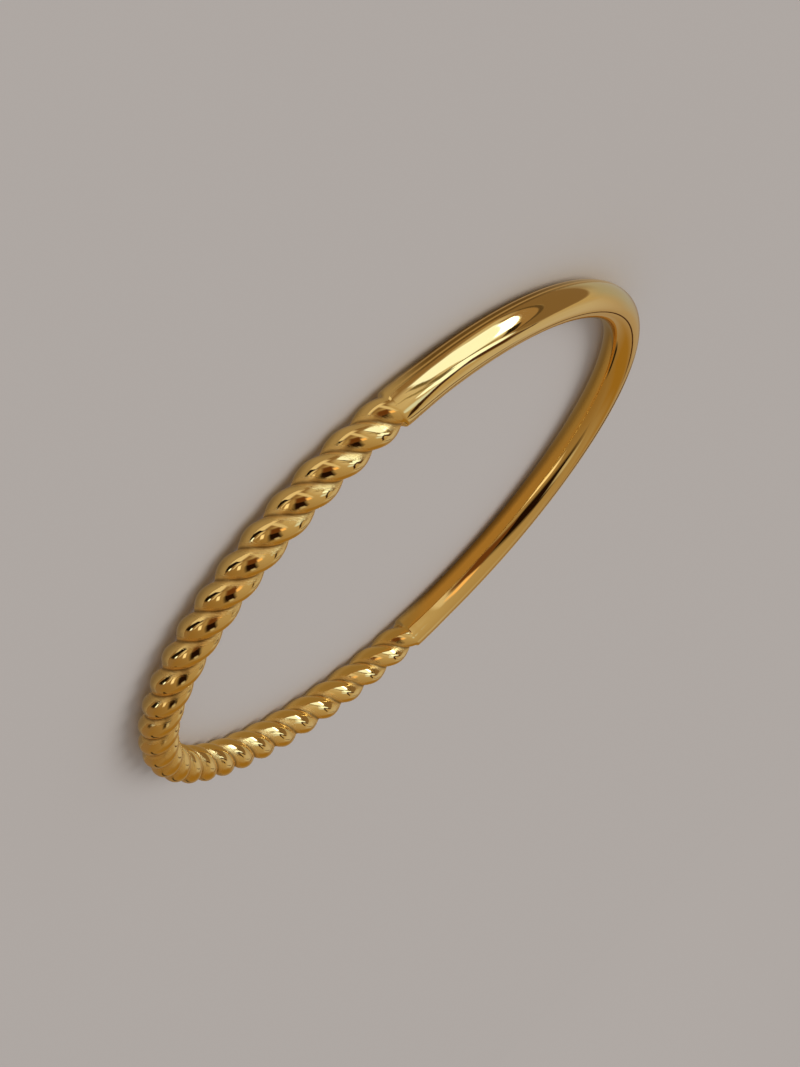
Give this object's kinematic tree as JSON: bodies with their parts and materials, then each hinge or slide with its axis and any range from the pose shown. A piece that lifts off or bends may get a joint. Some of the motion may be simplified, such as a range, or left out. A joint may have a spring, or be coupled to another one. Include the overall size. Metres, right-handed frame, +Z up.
{
  "type": "half twisted wire bangle",
  "caption": "Closed oval bangle: one half a plain polished round bar, the other half round wires twisted together and soldered to the bar's ends.",
  "frame": {"origin": "bottom centre of the bangle as it lies flat, on the surface under the middle of the wrist opening", "axes": "+Z up through the wrist opening, +X along the oval's long way to the middle of the twisted half, +Y along its short way, through both joints"},
  "size_m": [0.0721, 0.0654, 0.0042],
  "materials": {
    "polished_gold": "gold plated, mirror polished, with fine wiping scratches",
    "twisted_gold": "gold plated, polished on the crests, softer and deeper in the grooves"
  },
  "bodies": {
    "root": {"plain_bar": "polished_gold", "twisted_wire_1": "twisted_gold", "twisted_wire_2": "twisted_gold"}
  },
  "joints": []
}
